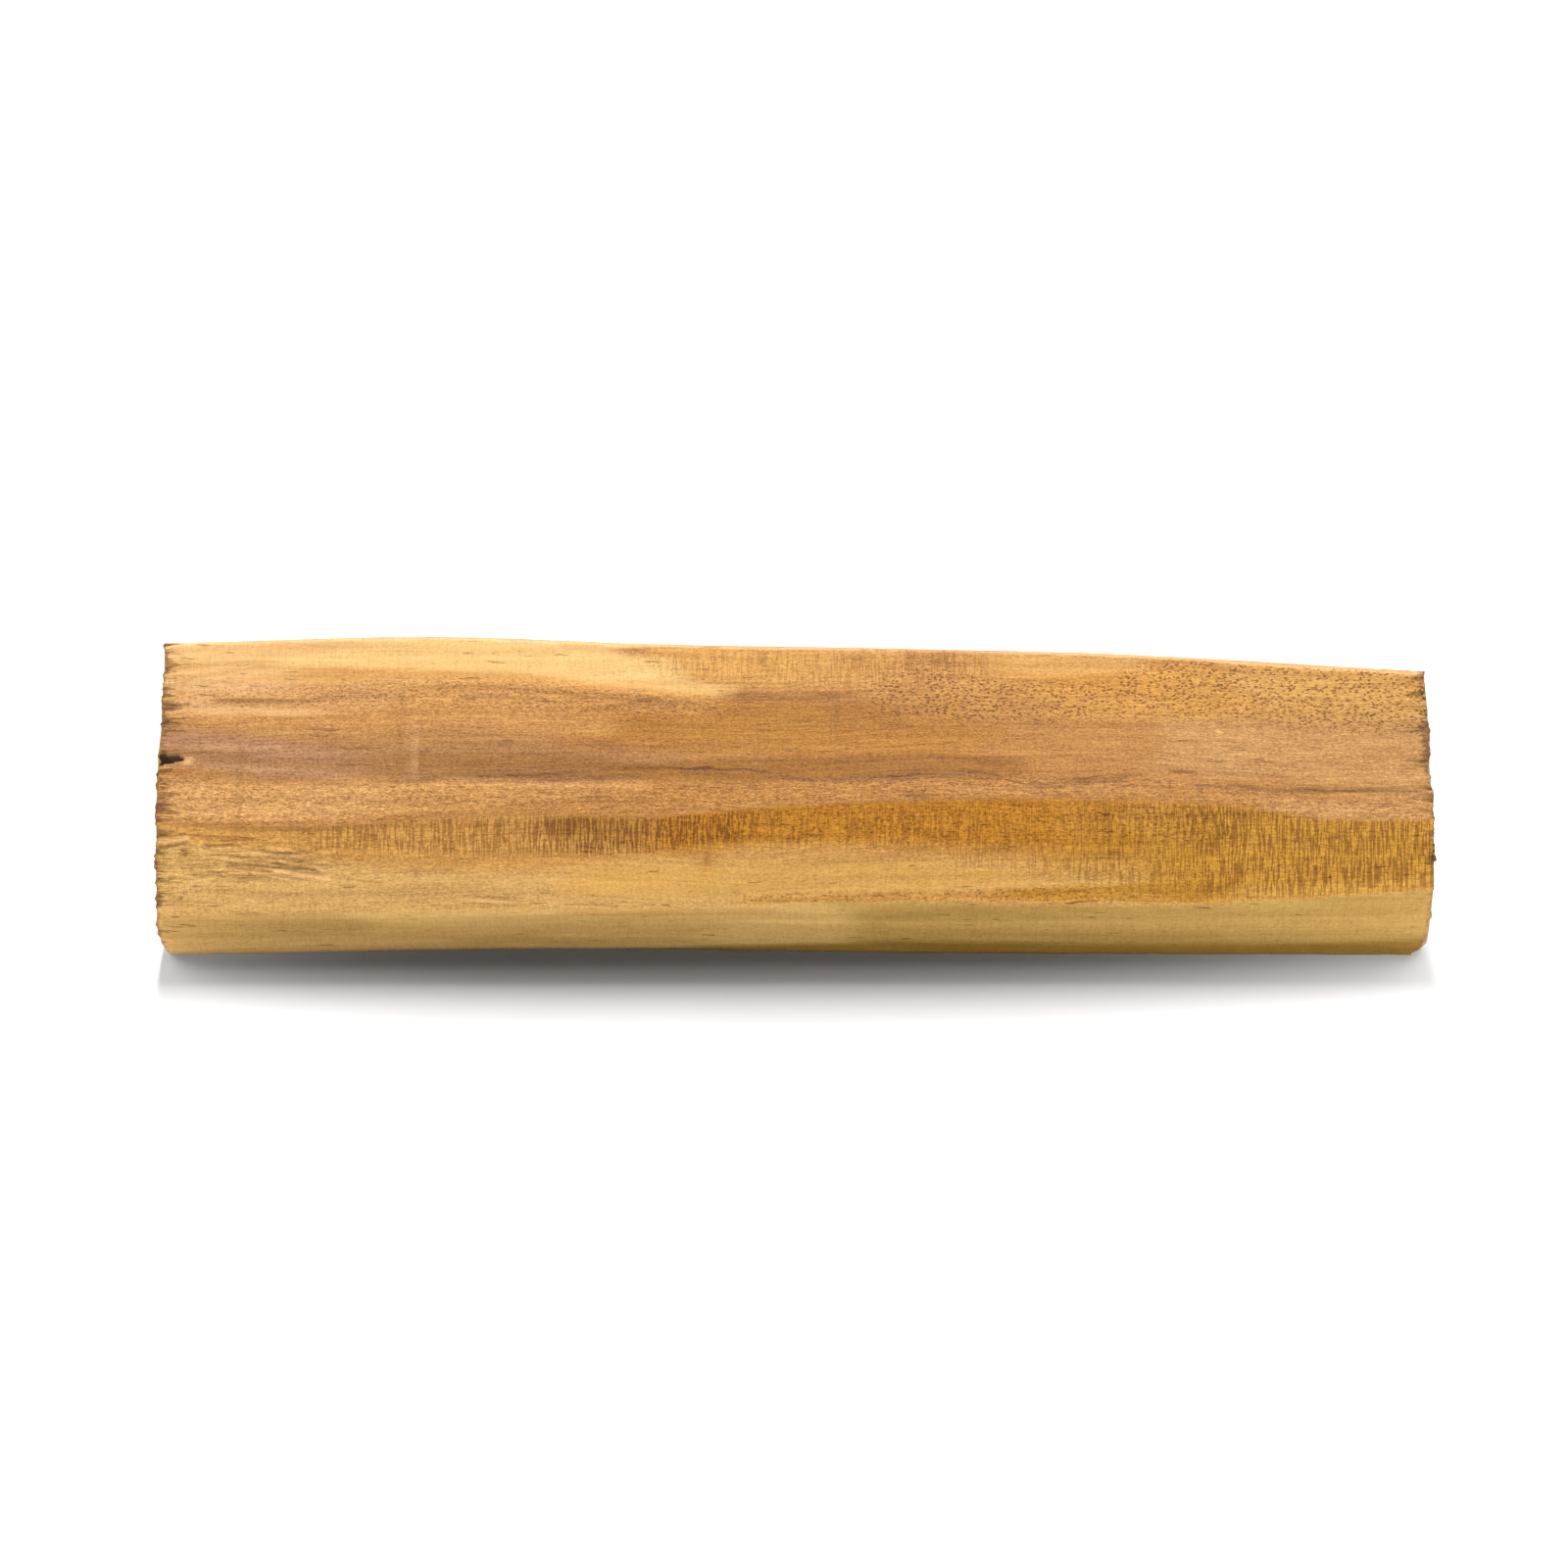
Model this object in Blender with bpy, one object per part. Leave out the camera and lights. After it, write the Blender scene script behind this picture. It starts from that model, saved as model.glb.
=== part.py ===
"""A white sandalwood stick: a length of heartwood hewn with a knife into long flat facets and sawn off at
both ends. It lies along X on its widest facet, with +Z up and the origin under the middle of the stick."""
import math

import bmesh
import bpy
import numpy as np

# Driving dimensions, in millimetres
MM = 0.001
LENGTH = 130.0
HALF = LENGTH / 2

# The ridges between the facets, in order round the section as seen from the +X end. Each one runs the
# length of the stick through a few points: x, y, z.
RIDGES = {
    "crest": [(-65, 2.8, 27.9), (-36, 3.1, 28.5), (-14, 2.8, 27.8), (12, 2.5, 27.4), (34, 2.3, 26.8),
              (50, 1.8, 25.9), (65, 1.5, 25.2)],
    "brow": [(-65, -12.5, 15.0), (-52, -12.7, 14.7), (-26, -12.2, 15.7), (-15, -12.3, 15.5),
             (-3, -11.9, 16.3), (35, -11.5, 16.9), (44, -11.7, 16.5), (54, -12.4, 15.3), (65, -12.5, 15.2)],
    "cheek": [(-65, -16.6, 6.5), (-34, -16.5, 6.7), (5, -16.0, 7.5), (43, -16.0, 7.5), (65, -15.4, 8.8)],
    "near foot": [(-65, -13.8, 0), (-25, -12.4, 0), (12, -13.3, 0), (65, -13.8, 0)],
    "far foot": [(-65, 10.6, 0), (-20, 9.2, 0), (25, 10.4, 0), (65, 9.6, 0)],
    "heel": [(-65, 15.6, 5.2), (-22, 15.0, 4.4), (24, 15.5, 5.4), (65, 14.6, 4.2)],
    "back": [(-65, 16.0, 11.6), (-30, 16.5, 13.2), (12, 16.1, 12.2), (65, 15.6, 13.4)],
    "shoulder": [(-65, 12.2, 21.9), (-38, 13.1, 21.6), (8, 12.7, 21.6), (40, 13.0, 21.3), (65, 12.0, 20.3)],
}

# How far each ridge is worn back along the two facets beside it
WORN = {"crest": 0.7, "brow": 0.8, "cheek": 1.5, "near foot": 1.0, "far foot": 1.2, "heel": 1.4,
        "back": 1.6, "shoulder": 1.1}

# Each facet is named for the ridge that it starts from: the points across it, and the depth of the knife
# strokes along it. The facet after the near foot is the flat one that the stick rests on.
FACETS = {
    "crest": (9, 0.11),
    "brow": (6, 0.12),
    "cheek": (4, 0.08),
    "near foot": (4, 0.0),
    "far foot": (3, 0.12),
    "heel": (3, 0.14),
    "back": (5, 0.16),
    "shoulder": (6, 0.13),
}
STROKE_LENGTH = 60.0
STROKE_SLANT = 4.0
RIDGE_POINTS = 3
AROUND = sum(points + RIDGE_POINTS for points, _ in FACETS.values())

# The sawn ends
RIM_BEVEL = 0.3
RIM_WORN_AT_FOOT = {-1: 1.5, 1: 1.9}
RIM_WORN_HEIGHT = 1.1
RIM_RAGGED = 0.16
RAGGED_REACH = 2.5
CAP_RINGS = (0.4, 0.75, 0.93)
RIM_SHARE = 0.98
SAW_UNEVEN = 0.1
SAW_WAVE = 17.0

# The fibres that the knife tore up near the left end, on the facet below the brow
TEAR_X = -53.5
TEAR_HALF_LENGTH = 8.0
TEAR_ACROSS = 0.42
TEAR_HALF_WIDTH = 0.32
TEAR_DEPTH = 0.45

# The small hole where a fibre bundle broke out of the left end, on the facet below the crest
HOLE_LENGTH = 3.0
HOLE_RADIUS = 1.1
HOLE_TIP_RADIUS = 0.2
HOLE_ACROSS = 0.655
HOLE_SUNK = 0.15
HOLE_SIDES = 7

SIDE_RINGS = 62
RING_CROWDING = 0.14
HEARTWOOD = (0.57, 0.30, 0.11, 1.0)


def through(points, x):
    """A smooth curve through a ridge's points: its y and z at each x."""
    knots, *heights = np.array(points, float).T
    return np.stack([hermite(knots, h, x) for h in heights], axis=-1)


def hermite(knots, values, x):
    slopes = np.gradient(values, knots)
    k = np.clip(np.searchsorted(knots, x) - 1, 0, len(knots) - 2)
    span = knots[k + 1] - knots[k]
    t = (x - knots[k]) / span
    ends = (2 * t**3 - 3 * t**2 + 1) * values[k] + (3 * t**2 - 2 * t**3) * values[k + 1]
    return ends + ((t**3 - 2 * t**2 + t) * slopes[k] + (t**3 - t**2) * slopes[k + 1]) * span


def bell(t):
    """1 in the middle, falling smoothly to 0 at -1 and 1."""
    return np.where(np.abs(t) < 1, 0.5 + 0.5 * np.cos(np.pi * np.clip(t, -1, 1)), 0.0)


def wave(x, seed, length):
    """A slow uneven wave along x, between about -1 and 1, different for each seed."""
    draw = np.random.default_rng(seed)
    total = np.zeros_like(x)
    for stretch in (1.0, 0.61, 0.37):
        total = total + stretch * np.sin(2 * np.pi * x / (length * stretch) + draw.uniform(0, 2 * np.pi))
    return total / 1.6


def unit(v):
    return v / np.linalg.norm(v, axis=-1, keepdims=True)


def knife_cut(name, number, depth, x, across):
    """How far a facet is pushed out along its normal, at x and at 0 to 1 across it."""
    strokes = depth * wave(x + STROKE_SLANT * across, number, STROKE_LENGTH) * 4 * across * (1 - across)
    if name == "brow":
        strokes = strokes - TEAR_DEPTH * bell((x - TEAR_X) / TEAR_HALF_LENGTH) * bell(
            (across - TEAR_ACROSS) / TEAR_HALF_WIDTH)
    return strokes


def section(x):
    """The stick's outline at x, as AROUND points (y, z) that start at the crest."""
    names = list(RIDGES)
    corners = {name: through(points, x) for name, points in RIDGES.items()}
    outline = []
    for number, name in enumerate(names):
        before, here = corners[names[number - 1]], corners[name]
        after = corners[names[(number + 1) % len(names)]]
        start = here + unit(before - here) * WORN[name]
        end = here + unit(after - here) * WORN[name]
        for t in np.linspace(0, 1, RIDGE_POINTS):
            outline.append((1 - t)**2 * start + 2 * t * (1 - t) * here + t**2 * end)
        next_start = after + unit(here - after) * WORN[names[(number + 1) % len(names)]]
        along = unit(next_start - end)
        normal = np.stack([along[..., 1], -along[..., 0]], axis=-1)
        points, depth = FACETS[name]
        for across in np.arange(1, points + 1) / (points + 1):
            push = knife_cut(name, number, depth, x, across)
            outline.append(end + (next_start - end) * across + normal * push[..., None])
    return np.stack(outline, axis=-2)


def sawn_end(side, outline):
    """How far the rim at one end is worn or torn back at each point of the section there."""
    turn = 2 * np.pi * np.arange(AROUND) / AROUND
    ragged = RIM_RAGGED * (wave(turn, 30 + side, 0.9) + 0.6 * wave(turn, 40 + side, 0.27))
    return RIM_WORN_AT_FOOT[side] * np.exp(-outline[:, 1] / RIM_WORN_HEIGHT) + ragged


def stations():
    """Where the rings stand along the stick, a little closer together towards the sawn ends."""
    evenly = np.linspace(-1, 1, SIDE_RINGS)
    crowded = np.sin(np.pi / 2 * evenly)
    return (HALF - RIM_BEVEL) * (evenly + RING_CROWDING * (crowded - evenly))


def stick_points():
    """Rings of points from the middle of the left end to the middle of the right end."""
    x = stations()
    outlines = section(x)
    middle = outlines.mean(axis=1, keepdims=True)
    rings = []
    for i, station in enumerate(x):
        side = -1 if station < 0 else 1
        near_end = math.exp(-(x[-1] - abs(station)) / RAGGED_REACH)
        worn_back = sawn_end(side, outlines[i]) * near_end
        rings.append(np.column_stack([station - side * worn_back, outlines[i]]))
    caps = {}
    for side, i in ((-1, 0), (1, -1)):
        rim = sawn_end(side, outlines[i])
        cap = []
        for share in (*CAP_RINGS, RIM_SHARE):
            face = middle[i] + (outlines[i] - middle[i]) * share
            saw = SAW_UNEVEN * wave(face[:, 1] + 0.3 * face[:, 0], 50 + side, SAW_WAVE)
            cap.append(np.column_stack([side * (HALF - SAW_UNEVEN + saw - rim * (share == RIM_SHARE)), face]))
        caps[side] = cap
    left_pole = np.array([-HALF, *middle[0, 0]])
    right_pole = np.array([HALF, *middle[-1, 0]])
    return left_pole, [*caps[-1], *rings, *caps[1][::-1]], right_pole


def make_stick(collection, material):
    """A ball of rings, each moved to its place along the stick."""
    left_pole, rings, right_pole = stick_points()
    steps = len(rings) + 1
    bm = bmesh.new()
    bmesh.ops.create_uvsphere(bm, u_segments=AROUND, v_segments=steps, radius=1)
    for vert in bm.verts:
        ring = steps - round(math.acos(max(-1, min(1, vert.co.z))) / math.pi * steps)
        turn = round(math.atan2(vert.co.y, vert.co.x) / (2 * math.pi) * AROUND) % AROUND
        if ring == 0:
            place = left_pole
        elif ring == steps:
            place = right_pole
        else:
            place = rings[ring - 1][turn]
        vert.co = place * MM
    mesh = bpy.data.meshes.new("sandalwood_stick")
    bm.to_mesh(mesh)
    bm.free()
    mesh.shade_smooth()
    mesh.set_sharp_from_angle(angle=math.radians(35))
    mesh.materials.append(material)
    stick = bpy.data.objects.new("sandalwood_stick", mesh)
    collection.objects.link(stick)
    return stick


def make_hole_cutter(collection):
    """A tapered plug at the left end, which breaks through both the end and the facet above it."""
    at_end = section(np.array([-HALF]))[0]
    first = RIDGE_POINTS
    last = first + FACETS["crest"][0] - 1
    low = at_end[first] + (at_end[last] - at_end[first]) * HOLE_ACROSS
    along = unit(at_end[last] - at_end[first])
    inward = -np.array([along[1], -along[0]])
    y, z = low + inward * HOLE_SUNK
    bm = bmesh.new()
    bmesh.ops.create_cone(bm, cap_ends=True, segments=HOLE_SIDES, radius1=HOLE_RADIUS * MM,
                          radius2=HOLE_TIP_RADIUS * MM, depth=2 * HOLE_LENGTH * MM)
    mesh = bpy.data.meshes.new("fibre_hole_cutter")
    bm.to_mesh(mesh)
    bm.free()
    cutter = bpy.data.objects.new("fibre_hole_cutter", mesh)
    cutter.location = (-HALF * MM, y * MM, z * MM)
    cutter.rotation_euler = (0, math.radians(90), 0)
    cutter.hide_render = True
    cutter.display_type = "WIRE"
    collection.objects.link(cutter)
    return cutter


def cut(target, cutter):
    boolean = target.modifiers.new(cutter.name, "BOOLEAN")
    boolean.operation = "DIFFERENCE"
    boolean.solver = "EXACT"
    boolean.object = cutter


def wood_material():
    material = bpy.data.materials.new("sandalwood")
    material.use_nodes = True
    shader = material.node_tree.nodes["Principled BSDF"]
    shader.inputs["Base Color"].default_value = HEARTWOOD
    shader.inputs["Roughness"].default_value = 0.55
    shader.inputs["Metallic"].default_value = 0.0
    return material


def new_collection(name):
    collection = bpy.data.collections.new(name)
    bpy.context.scene.collection.children.link(collection)
    return collection


def main():
    for thing in list(bpy.data.objects):
        bpy.data.objects.remove(thing)
    parts = new_collection("white_sandalwood_stick")
    cutters = new_collection("cutters")
    stick = make_stick(parts, wood_material())
    cut(stick, make_hole_cutter(cutters))


main()
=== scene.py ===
"""A white sandalwood stick on a pale floor, in soft studio light. The fine wood surface keeps the form of the
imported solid, and adds its torn fibres, ragged rims, knife marks, grain and colour."""
import math

import bpy
import numpy as np
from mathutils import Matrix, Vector, noise


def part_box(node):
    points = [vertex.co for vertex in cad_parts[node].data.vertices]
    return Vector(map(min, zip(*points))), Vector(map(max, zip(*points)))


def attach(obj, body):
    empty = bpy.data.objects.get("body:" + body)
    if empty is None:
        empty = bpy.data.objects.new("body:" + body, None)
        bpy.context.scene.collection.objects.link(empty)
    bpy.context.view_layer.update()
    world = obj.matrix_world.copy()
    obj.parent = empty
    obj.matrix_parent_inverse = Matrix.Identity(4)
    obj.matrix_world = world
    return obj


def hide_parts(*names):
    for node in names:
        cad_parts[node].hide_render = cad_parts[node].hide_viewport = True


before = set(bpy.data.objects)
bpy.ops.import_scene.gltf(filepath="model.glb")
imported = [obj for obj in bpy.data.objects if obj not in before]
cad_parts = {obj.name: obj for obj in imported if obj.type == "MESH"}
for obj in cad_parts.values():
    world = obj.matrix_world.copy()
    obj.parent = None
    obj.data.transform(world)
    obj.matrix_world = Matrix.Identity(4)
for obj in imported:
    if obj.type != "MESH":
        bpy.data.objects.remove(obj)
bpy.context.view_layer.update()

# The stick's form, in millimetres. Each ridge runs through a few points: x, y, z.
MM = 0.001
HALF = 65.0
RIDGES = {
    "crest": [(-65, 2.8, 27.9), (-36, 3.1, 28.5), (-14, 2.8, 27.8), (12, 2.5, 27.4), (34, 2.3, 26.8),
              (50, 1.8, 25.9), (65, 1.5, 25.2)],
    "brow": [(-65, -12.5, 15.0), (-52, -12.7, 14.7), (-26, -12.2, 15.7), (-15, -12.3, 15.5),
             (-3, -11.9, 16.3), (35, -11.5, 16.9), (44, -11.7, 16.5), (54, -12.4, 15.3), (65, -12.5, 15.2)],
    "cheek": [(-65, -16.6, 6.5), (-34, -16.5, 6.7), (5, -16.0, 7.5), (43, -16.0, 7.5), (65, -15.4, 8.8)],
    "near foot": [(-65, -13.8, 0), (-25, -12.4, 0), (12, -13.3, 0), (65, -13.8, 0)],
    "far foot": [(-65, 10.6, 0), (-20, 9.2, 0), (25, 10.4, 0), (65, 9.6, 0)],
    "heel": [(-65, 15.6, 5.2), (-22, 15.0, 4.4), (24, 15.5, 5.4), (65, 14.6, 4.2)],
    "back": [(-65, 16.0, 11.6), (-30, 16.5, 13.2), (12, 16.1, 12.2), (65, 15.6, 13.4)],
    "shoulder": [(-65, 12.2, 21.9), (-38, 13.1, 21.6), (8, 12.7, 21.6), (40, 13.0, 21.3), (65, 12.0, 20.3)],
}
NAMES = list(RIDGES)
SIDES = len(NAMES)

# How far each ridge is worn back, how softly its facets meet, and how it is chipped
WORN = {"crest": 0.6, "brow": 0.5, "cheek": 0.9, "near foot": 1.0, "far foot": 1.2, "heel": 1.4,
        "back": 1.6, "shoulder": 1.1}
RIDGE_BLEND = 0.03
CHIP_DEPTH = 0.12
CHIP_HALF_WIDTH = 0.06
UNEVEN = 0.03

# Points across each facet, which is named for the ridge it starts from, and the depth of its knife strokes
FACETS = {
    "crest": (84, 0.11), "brow": (62, 0.12),
    "cheek": (28, 0.08), "near foot": (10, 0.0),
    "far foot": (12, 0.12), "heel": (16, 0.14),
    "back": (24, 0.16), "shoulder": (30, 0.13),
}
STROKE_LENGTH = 60.0
STROKE_SLANT = 4.0
RIDGE_POINTS = 7
AROUND = sum(points + RIDGE_POINTS for points, _ in FACETS.values())
SIDE_RINGS = 280
RING_CROWDING = 0.75

# The sawn ends, -1 for the left one and 1 for the right one, and how far their wear reaches
RIM_BEVEL = 0.12
RIM_WORN_AT_FOOT = {-1: 1.5, 1: 1.4}
RIM_WORN_HEIGHT = {-1: 1.1, 1: 2.6}
RIM_RAGGED = 0.16
RAGGED_LENGTH = 0.9
FINE_RAGGED = 0.6
FINE_RAGGED_LENGTH = 0.27
RAGGED_REACH = 2.5
RIM_TEETH = {-1: 0.32, 1: 0.18}
DEEPEST_TOOTH = 3.0
TEETH_OUT = 0.4
TEETH_REACH = 0.6
CRUMBLED = 0.55
CRUMBLED_REACH = 1.2
CRUMBLED_OUT = 0.1
CAP_SHARES = (0.25, 0.5, 0.7, 0.84, 0.93, 0.97, 0.992)
CAP_WORN_FROM = 0.95
CAP_WORN_OVER = 0.04
CAP_TEETH_FROM = 0.99
SAW_UNEVEN = 0.1
SAW_WAVE = 17.0
SAW_SLANT = 0.3

# The fibres torn up near the left end, and the hole where a bundle of them broke out of it
TEAR_X = -53.5
TEAR_HALF_LENGTH = 8.0
TEAR_ACROSS = 0.42
TEAR_HALF_WIDTH = 0.32
TEAR_DEPTH = 0.45
TEAR_LEDGES = 0.3
TEAR_STRIPS = 0.1
TEAR_SLANT = 0.14
HOLE_TIP_X = -62.4
HOLE_GROWTH = 0.2
HOLE_TIP_RADIUS = 0.2
HOLE_ACROSS = 0.655
HOLE_SUNK = 0.15

# Wood tones, as the shares of red, green and blue light that they give back, and two painted shades: the
# near-black one for the hole at the left end and the dark olive one for the cheek's lower edge
TONES = {
    "tan": (0.505, 0.228, 0.056), "peach": (0.88, 0.512, 0.198), "flame": (0.92, 0.575, 0.208),
    "amber": (0.77, 0.39, 0.098), "golden": (0.66, 0.32, 0.09), "finger": (0.76, 0.425, 0.175),
    "orange": (0.485, 0.203, 0.031), "rosy": (0.41, 0.197, 0.075), "mauve": (0.43, 0.208, 0.105),
    "russet": (0.33, 0.134, 0.019), "dusky": (0.29, 0.13, 0.04), "fuzz": (0.65, 0.335, 0.105),
    "brown": (0.32, 0.14, 0.035), "pitted": (0.635, 0.3, 0.06), "smooth": (0.72, 0.37, 0.1),
    "pinkish": (0.56, 0.29, 0.095), "pale": (0.685, 0.392, 0.119), "honey": (0.73, 0.395, 0.087),
    "ochre": (0.62, 0.275, 0.042), "deep": (0.57, 0.228, 0.012), "bronze": (0.55, 0.252, 0.014),
    "brass": (0.6, 0.28, 0.022), "umber": (0.46, 0.195, 0.02), "painted_foot_shade": (0.29, 0.155, 0.016),
    "straw": (0.73, 0.45, 0.14), "reed": (0.505, 0.3, 0.073), "sawn": (0.47, 0.27, 0.1),
    "rim": (0.29, 0.14, 0.038), "painted_hole_shade": (0.06, 0.028, 0.014),
}

# The ground tone of each facet
GROUND = {"crest": "tan", "brow": "pale", "cheek": "straw", "near foot": "straw", "far foot": "tan",
          "heel": "pinkish", "back": "tan", "shoulder": "golden"}

# Stains laid over it in turn, among them a painted highlight along the crest ridge, painted shade along
# the cheek's lower edge and painted light on its lower left: tone, strength, and the places that the stain
# runs through, each an x, a distance across the facet and a half-width, both in hundredths of the facet
STAINS = {"crest": [
    ("orange", 0.9, [(-21, 45, 17), (-5, 49, 18), (17, 54, 18)]),
    ("golden", 0.7, [(-60, 44, 9), (-21, 47, 8)]),
    ("amber", 0.7, [(-66, 33, 10), (-54, 32, 8)]),
    ("pitted", 0.9, [(15, 26, 21), (39, 23, 22), (65, 16, 24)]),
    ("tan", 0.7, [(12, 30, 16), (22, 36, 14)]),
    ("pale", 0.45, [(48, 18, 16), (65, 18, 22)]),
    ("pinkish", 0.85, [(39, 62, 20), (49, 58, 25), (65, 60, 32)]),
    ("golden", 0.9, [(-60, 31, 5), (-41, 30, 9), (-21, 32, 9), (-12, 37, 6)]),
    ("orange", 0.3, [(-22, 36, 8), (-12, 40, 7)]),
    ("amber", 0.95, [(-12, 10, 9), (-1, 14, 12), (8, 14, 13)]),
    ("golden", 0.65, [(4, 16, 13), (18, 15, 15)]),
    ("peach", 0.95, [(-66, 12, 17), (-50, 10, 14), (-40, 5, 9), (-20, 3, 7)]),
    ("amber", 0.7, [(-50, 20, 7), (-21, 22, 6), (-10, 30, 5)]),
    ("flame", 0.95, [(-56, 12, 2), (-51, 12, 4), (-45, 12, 7), (-37, 12, 9), (-25, 12, 10),
                     (-15, 15, 8)]),
    ("flame", 0.6, [(-22, 15, 9), (-14, 22, 6), (-8, 28, 5)]),
    ("finger", 0.85, [(-66, 20, 5), (-54, 24, 3)]),
    ("finger", 0.3, [(-66, 30, 6), (-54, 30, 5)]),
    ("finger", 0.3, [(-62, 31, 10), (-42, 31, 8)]),
    ("finger", 0.8, [(-65, 37, 4), (-51, 39, 2)]),
    ("smooth", 0.85, [(20, 8, 6), (28, 9, 8), (35, 8, 6)]),
    ("ochre", 0.6, [(28, 23, 7), (36, 21, 7)]),
    ("rosy", 0.4, [(-66, 55, 14), (-51, 62, 16), (-36, 67, 16), (-21, 68, 13), (-12, 68, 9)]),
    ("rosy", 0.75, [(-66, 56, 7), (-51, 64, 9), (-36, 70, 9), (-21, 70, 8), (-15, 69, 5)]),
    ("mauve", 0.6, [(-66, 56, 9), (-56, 62, 10), (-49, 66, 9)]),
    ("finger", 0.25, [(-62, 59, 2), (-52, 60, 1.5)]),
    ("finger", 0.2, [(-57, 67, 2), (-42, 68, 1.5)]),
    ("russet", 0.3, [(-62, 62, 2), (-50, 66, 2), (-38, 67, 1.5)]),
    ("russet", 0.35, [(-41, 70, 8), (-21, 72, 9)]),
    ("russet", 0.4, [(-32, 71, 8), (-21, 72, 9)]),
    ("russet", 0.8, [(-17, 74, 6), (-5, 76, 9), (6, 77, 11), (21, 79, 9)]),
    ("russet", 0.25, [(29, 87, 5), (42, 90, 4), (54, 81, 4), (65, 79, 4)]),
    ("russet", 0.2, [(-14, 42, 10), (2, 44, 12), (12, 50, 8)]),
    ("dusky", 0.5, [(-38, 76, 3), (-24, 77, 3)]),
    ("fuzz", 0.9, [(-65, 87, 12), (-39, 88, 10), (-17, 86, 5)]),
    ("tan", 0.8, [(-17, 91, 6), (32, 93, 6)]),
    ("orange", 0.4, [(-38, 90, 9), (-10, 91, 8), (14, 93, 6)]),
    ("pinkish", 0.6, [(50, 95, 7), (65, 95, 8)]),
    ("brown", 0.5, [(-4, 32, 3), (5, 32, 4)]),
    ("brown", 0.45, [(-57, 33, 1.6), (-53, 32, 1.6)]),
    ("brown", 0.4, [(-35, 29, 1.2), (-25, 31, 1.5), (-14, 36, 2)]),
    ("brown", 0.3, [(-21, 58, 1.2), (-17, 60, 1.2), (-11, 58, 1.2), (-3, 59, 1)]),
    ("golden", 0.5, [(-66, 12, 2.5), (-61, 12, 1.5), (-56, 11, 1)]),
    ("golden", 0.5, [(-66, 20, 1.8), (-61, 18, 1.5), (-56, 14, 1.4)]),
    ("golden", 0.4, [(-56, 21, 2), (-44, 20, 2)]),
    # Painted highlight: a pale line along the crest ridge
    ("peach", 0.7, [(-66, 0, 3), (-10, 0, 2), (20, 0, 1.4), (66, 0, 1)]),
], "brow": [
    ("ochre", 0.65, [(-66, 5, 12), (-51, 12, 20), (-39, 24, 30), (-29, 28, 32), (-20, 24, 32),
                     (-10, 16, 30)]),
    ("brown", 0.4, [(-59, 3, 3), (-50, 4, 3), (-41, 2, 3)]),
    ("umber", 0.15, [(-47, 2, 8), (-36, 5, 12), (-24, 7, 14)]),
    ("umber", 0.75, [(-22, 8, 20), (-15, 9, 25), (-8, 10, 28)]),
    ("ochre", 0.4, [(-10, 25, 38), (5, 28, 40), (26, 40, 60)]),
    ("deep", 0.97, [(-12, 10, 27), (5, 13, 31), (33, 18, 44)]),
    ("honey", 0.8, [(-21, 70, 20), (9, 74, 19), (22, 74, 10)]),
    ("bronze", 0.5, [(29, 48, 30), (36, 52, 46), (42, 50, 60)]),
    ("brass", 0.9, [(38, 30, 60), (44, 38, 68), (65, 45, 75)]),
    ("ochre", 0.4, [(28, 10, 30), (44, 2, 14), (65, 2, 8)]),
    ("ochre", 0.7, [(-3, 95, 3), (9, 94, 5), (27, 92, 7)]),
    ("bronze", 0.8, [(24, 90, 6), (40, 86, 12)]),
    ("honey", 0.3, [(46, 93, 12), (65, 95, 14)]),
], "cheek": [
    ("golden", 0.5, [(-21, 5, 10), (-5, 12, 8)]),
    # Painted light: a paler tone that lifts the lower left of the cheek, which the lamps leave darker
    ("pale", 0.7, [(-66, 75, 35), (-30, 65, 42), (-12, 55, 35)]),
    ("reed", 0.9, [(8, 45, 45), (24, 45, 75), (65, 45, 80)]),
    ("reed", 0.95, [(-66, 25, 35), (-46, 20, 30)]),
    ("finger", 0.2, [(-66, 25, 35), (-46, 20, 30)]),
    ("peach", 0.25, [(-66, 85, 25), (-38, 85, 25)]),
    ("peach", 0.2, [(-36, 30, 12), (-22, 35, 10)]),
    ("pale", 0.4, [(12, 42, 10), (38, 38, 12), (62, 42, 10)]),
    # Painted shade: darker along the cheek's lower edge, where the stick turns under towards the floor
    ("painted_foot_shade", 0.85, [(-16, 100, 10), (-1, 95, 18), (19, 92, 20), (39, 91, 18), (64, 88, 16)]),
]}

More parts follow.
